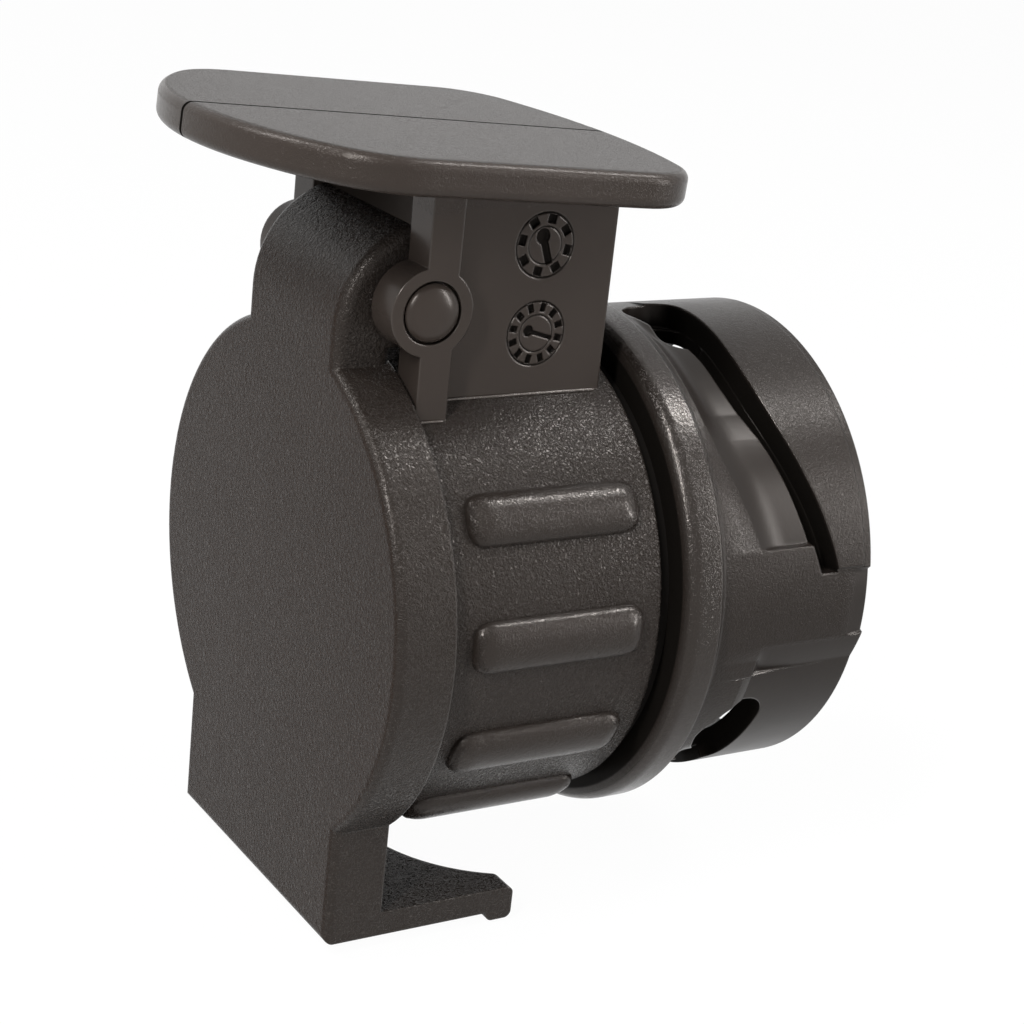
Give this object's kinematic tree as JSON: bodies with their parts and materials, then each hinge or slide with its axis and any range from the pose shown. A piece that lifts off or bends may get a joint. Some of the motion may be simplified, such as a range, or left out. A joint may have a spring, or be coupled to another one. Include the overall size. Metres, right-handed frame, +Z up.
{
  "type": "trailer socket adapter",
  "caption": "Compact trailer socket adapter: bayonet plug sleeve at one end, spring-lidded round socket at the other, ribbed barrel and grip plate on two webs.",
  "frame": {"origin": "on the cylinder's axis, in the collar face that seats on the vehicle's socket", "axes": "+X along the axis out of the plug end, +Z up towards the plate, -Y the near side of the picture"},
  "size_m": [0.0637, 0.0506, 0.0755],
  "materials": {
    "shell_plastic": "fine leather grain on lid, barrel, collar and lands, satin on webs, bosses and plate edge",
    "insulator_plastic": "smooth satin",
    "ring_plastic": "smooth",
    "seal_rubber": "dull",
    "contact_brass": "turned",
    "spring_steel": "drawn wire",
    "screw_steel": "zinc plated",
    "pin_metal": "black satin",
    "wire_jacket": "smooth jacket"
  },
  "bodies": {
    "adapter": {"housing": "shell_plastic", "bayonet_sleeve": "shell_plastic", "joint_seal": "seal_rubber", "hinge_pin": "pin_metal", "lid_spring": "spring_steel", "contact_carrier": "insulator_plastic", "centre_contact": "contact_brass", "carrier_screws": "screw_steel", "insert_ring": "ring_plastic", "jumper_wires": "wire_jacket", "contact_sleeve_1": "contact_brass", "contact_sleeve_2": "contact_brass", "contact_sleeve_3": "contact_brass", "contact_sleeve_4": "contact_brass", "contact_sleeve_5": "contact_brass", "contact_sleeve_6": "contact_brass"},
    "lid": {"lid": "shell_plastic", "lid_gasket": "seal_rubber"},
    "insert": {"plug_insert": "insulator_plastic", "plug_pin_1": "contact_brass", "plug_pin_2": "contact_brass", "plug_pin_3": "contact_brass", "plug_pin_4": "contact_brass", "plug_pin_5": "contact_brass", "plug_pin_6": "contact_brass", "plug_pin_7": "contact_brass"}
  },
  "joints": [
    {"name": "lid_hinge", "type": "hinge", "parent": "adapter", "child": "lid", "pos_m": [-0.0265, 0, 0.0288], "axis": [0, 1, 0], "range_deg": [0, 100], "stiffness_Nm_per_rad": 0.02, "springref_deg": -51.57},
    {"name": "insert_turn", "type": "hinge", "parent": "adapter", "child": "insert", "pos_m": [0, 0, 0], "axis": [1, 0, 0], "range_deg": [0, 84]}
  ]
}
